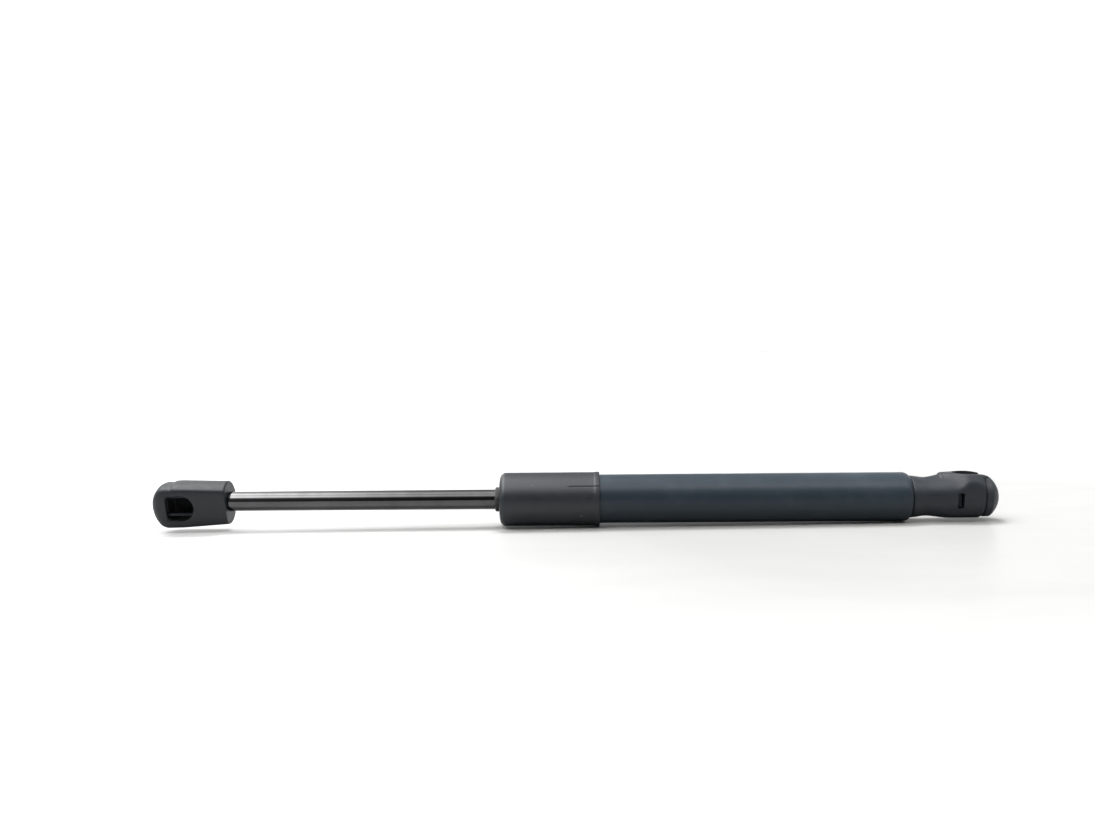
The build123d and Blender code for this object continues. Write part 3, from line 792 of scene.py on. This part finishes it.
SOCKET_PLASTIC = plastic(
    "socket_plastic", (0.0085, 0.0112, 0.015), (0.012, 0.015, 0.0195), dust=0.03, shine=0.34
)
# The rod-end socket is the same plastic as the tube-end socket, coloured darker here: painted shade
# that evens out the brighter light on the left.
ROD_END_PLASTIC_SHADED = plastic(
    "rod_end_plastic_shaded", (0.004, 0.0055, 0.0075), (0.006, 0.008, 0.0105), dust=0.03, shine=0.35
)
SLEEVE_PLASTIC = plastic(
    "sleeve_plastic", (0.0055, 0.008, 0.0105), (0.0075, 0.0105, 0.0135), roughness=(0.36, 0.46),
    grain=4.0, depth=0.01, dust=0.25, shine=0.44
)
RUBBER = rubber()
STEEL = rod_steel()
PAINT = tube_paint()
ZINC = metal("zinc_steel", (0.5, 0.5, 0.52), (0.62, 0.62, 0.64))
SPRING = metal(
    "spring_steel", (0.016, 0.018, 0.022), (0.028, 0.031, 0.036), roughness=(0.45, 0.6),
    density=(0.05, 1, 1)
)

dressed(tube_shell(), PAINT, "tube_assembly", "tube_paint", "pressure_tube")
dressed(sleeve_shell(), SLEEVE_PLASTIC, "tube_assembly", "sleeve_plastic", "protective_sleeve")
dressed(wiper_lip(), RUBBER, "tube_assembly", "seal_rubber", "wiper_ring")
dressed(rod_shaft(), STEEL, "rod_assembly", "rod_steel", "piston_rod")
for (socket, cap), plastic_used, body, end in (
    (tube_socket(), SOCKET_PLASTIC, "tube_assembly", "tube_end"),
    (rod_socket(), ROD_END_PLASTIC_SHADED, "rod_assembly", "rod_end"),
):
    dressed(socket, plastic_used, body, "socket_plastic", end + "_socket")
    dressed(cap, plastic_used, body, "socket_plastic", end + "_nose_cap")

NODE_MATERIALS = {
    "seal_rubber": RUBBER,
    "zinc_steel": ZINC,
    "spring_steel": SPRING,
    "bearing_bronze": metal("bearing_bronze", (0.5, 0.34, 0.16), (0.6, 0.42, 0.2)),
    "piston_alloy": metal("piston_alloy", (0.35, 0.35, 0.34), (0.48, 0.48, 0.46), (0.45, 0.6)),
    "guide_plastic": plastic("guide_plastic", (0.05, 0.05, 0.055), (0.07, 0.07, 0.075)),
    "ring_plastic": plastic("ring_plastic", (0.12, 0.11, 0.09), (0.16, 0.15, 0.12)),
    "rod_steel": STEEL,
    "tube_paint": PAINT,
    "socket_plastic": SOCKET_PLASTIC,
    "sleeve_plastic": SLEEVE_PLASTIC,
}
for entry in frame["record"]["subparts"]:
    node = frame["nodes"][entry["node"]]
    node.data.materials.clear()
    node.data.materials.append(NODE_MATERIALS[entry["material_slot"]])


# ---------------------------------------------------------------- floor, light and camera

# The lens and the sensor are in millimetres, and the camera's distances in metres
LENS = 36.2
SENSOR = 36.0
CAMERA_DISTANCE = 0.444
CAMERA_YAW = math.radians(2.0)
CAMERA_PITCH = math.radians(4.0)
CAMERA_ROLL = math.radians(0.70)
CAMERA_RISE = 0.0319
AIM_OFFSET = -0.0095

# The room's brightness from the front horizon over the top to the back, as (degrees, level),
# for the left and for the right of the strut
SKY_LEFT = (
    (0, 0.06), (32, 0.08), (42, 0.4), (50, 2.4), (60, 3.4), (69, 2.7), (77, 1.9),
    (88, 3.6), (100, 3.2), (116, 1.4), (132, 0.8), (150, 0.5), (180, 0.6),
)
SKY_RIGHT = (
    (0, 0.06), (38, 0.1), (47, 0.4), (54, 2.0), (62, 3.6), (72, 3.4),
    (84, 1.7), (98, 1.2), (118, 0.7), (140, 0.4), (180, 0.5),
)


def floor():
    """A pale floor that touches the sleeve's bead and the tube's far shoulder."""
    bead = Vector(((SLEEVE_END - 1) * MM, 0, -SLEEVE_RIM * MM))
    shoulder = Vector(((TUBE_END - TUBE_ROLL) * MM, 0, -TUBE_RADIUS * MM))
    slope = (shoulder - bead).normalized()
    bm = bmesh.new()
    size = 6.0
    for x, y in ((-size, -size), (size, -size), (size, size), (-size, size)):
        bm.verts.new(bead + slope * x + Vector((0, y, -0.00005)))
    bm.faces.new(bm.verts)
    piece = object_from("floor", bm)
    m = Nodes("floor_white")
    m.set(Roughness=0.34, Specular_IOR_Level=0.15)
    # The floor's colour is darker near the strut and paler away from it: painted shade round the
    # strut.
    away = m.add("ShaderNodeVectorMath", operation="LENGTH")
    m.link(m.place, away.inputs[0])
    tone = m.ramp(away.outputs["Value"], [(0.13, (0.268, 0.267, 0.263)), (0.45, 0.48)])
    streaks = m.ramp(m.noise(0.02, 4, (1, 3, 1)), [(0.35, 0.96), (0.65, 1.0)])
    blend = m.add("ShaderNodeMix", data_type="RGBA", blend_type="MULTIPLY")
    blend.inputs["Factor"].default_value = 1.0
    m.link(tone, blend.inputs["A"])
    m.link(streaks, blend.inputs["B"])
    m.link(blend.outputs["Result"], m.shader.inputs["Base Color"])
    piece.data.materials.append(m.material)


def lamp(name, place, aim, size, power):
    """A soft rectangular light that points at a place, in metres."""
    data = bpy.data.lights.new(name, "AREA")
    data.shape = "RECTANGLE"
    data.size, data.size_y = size
    data.energy = power
    light = bpy.data.objects.new(name, data)
    bpy.context.scene.collection.objects.link(light)
    light.location = place
    light.rotation_euler = (Vector(aim) - Vector(place)).to_track_quat("-Z", "Y").to_euler()
    return light


def studio():
    """A room lit from above: dark behind the camera, brightest overhead and to the left."""
    world = bpy.data.worlds.new("studio")
    bpy.context.scene.world = world
    world.use_nodes = True
    tree = world.node_tree
    sky = tree.nodes["Background"]

    def step(kind, inputs, **settings):
        """The first output of a new node with its settings and inputs."""
        node = tree.nodes.new(kind)
        for key, value in settings.items():
            setattr(node, key, value)
        for key, value in inputs.items():
            if isinstance(value, bpy.types.NodeSocket):
                tree.links.new(value, node.inputs[key])
            else:
                node.inputs[key].default_value = value
        return node.outputs[0]

    def between(value, first, last, low, high):
        """A number that goes from low to high while a value goes from first to last."""
        return step("ShaderNodeMapRange", {"Value": value, 1: first, 2: last, 3: low, 4: high})

    where = tree.nodes.new("ShaderNodeTexCoord").outputs["Generated"]
    direction = tree.nodes.new("ShaderNodeSeparateXYZ")
    tree.links.new(where, direction.inputs["Vector"])
    x, y, z = direction.outputs
    ahead = step("ShaderNodeMath", {0: y, 1: -1.0}, operation="MULTIPLY")
    turn = step("ShaderNodeMath", {0: z, 1: ahead}, operation="ARCTAN2")
    share = step("ShaderNodeMath", {0: turn, 1: math.pi}, operation="DIVIDE")
    ramps = []
    for levels in (SKY_LEFT, SKY_RIGHT):
        bands = tree.nodes.new("ShaderNodeValToRGB")
        tree.links.new(share, bands.inputs["Fac"])
        for index, (degrees, level) in enumerate(levels):
            elements = bands.color_ramp.elements
            element = elements[index] if index < 2 else elements.new(degrees / 180)
            element.position = degrees / 180
            element.color = (level, level, level, 1)
        ramps.append(bands.outputs["Color"])
    side = between(x, 0.0, 0.07, 0.0, 1.0)
    lit = step("ShaderNodeMix", {0: side, 2: ramps[0], 3: ramps[1]}, data_type="FLOAT")
    # The room grows dark towards both ends of the strut, and has some fill on the right
    width = step("ShaderNodeMath", {0: x}, operation="ABSOLUTE")
    ends = between(width, 0.5, 0.85, 1.0, 0.2)
    lit = step("ShaderNodeMath", {0: lit, 1: ends}, operation="MULTIPLY")
    fill = between(x, 0.15, 0.35, 0.0, 0.45)
    lit = step("ShaderNodeMath", {0: lit, 1: fill}, operation="ADD")
    # The left of the room is the brightest, and the backdrop itself shows an even white
    left = between(x, -0.34, -0.14, 3.4, 1.0)
    strength = step("ShaderNodeMath", {0: lit, 1: left}, operation="MULTIPLY")
    seen = tree.nodes.new("ShaderNodeLightPath").outputs["Is Camera Ray"]
    shown = step("ShaderNodeMix", {0: seen, 2: strength, 3: 1.02}, data_type="FLOAT")
    tree.links.new(shown, sky.inputs["Strength"])
    sky.inputs["Color"].default_value = (1, 1, 1, 1)


def camera():
    """A camera in front of the strut, a little above it and nearly square to it."""
    data = bpy.data.cameras.new("camera")
    data.lens = LENS
    data.sensor_width = SENSOR
    data.clip_start = 0.01
    data.clip_end = 50
    cam = bpy.data.objects.new("camera", data)
    bpy.context.scene.collection.objects.link(cam)
    forward = Vector((
        -math.sin(CAMERA_YAW) * math.cos(CAMERA_PITCH),
        math.cos(CAMERA_YAW) * math.cos(CAMERA_PITCH),
        -math.sin(CAMERA_PITCH),
    ))
    right = forward.cross(Vector((0, 0, 1))).normalized()
    up = right.cross(forward)
    roll = Matrix.Rotation(CAMERA_ROLL, 3, forward)
    right, up = roll @ right, roll @ up
    middle = (cad_box[0] + cad_box[1]) / 2
    aim = Vector((middle.x + AIM_OFFSET, 0, 0))
    place = aim - forward * CAMERA_DISTANCE + up * CAMERA_RISE
    cam.matrix_world = Matrix((
        (right.x, up.x, -forward.x, place.x),
        (right.y, up.y, -forward.y, place.y),
        (right.z, up.z, -forward.z, place.z),
        (0, 0, 0, 1),
    ))
    bpy.context.scene.camera = cam


floor()
studio()
camera()
aim = ((TUBE_START + 20) * MM, 0, 0)
key = lamp("key", place=(-0.13, 0.26, 0.78), aim=aim, size=(0.22, 0.22), power=10)
key.visible_glossy = False
bpy.context.scene.view_settings.view_transform = "Standard"
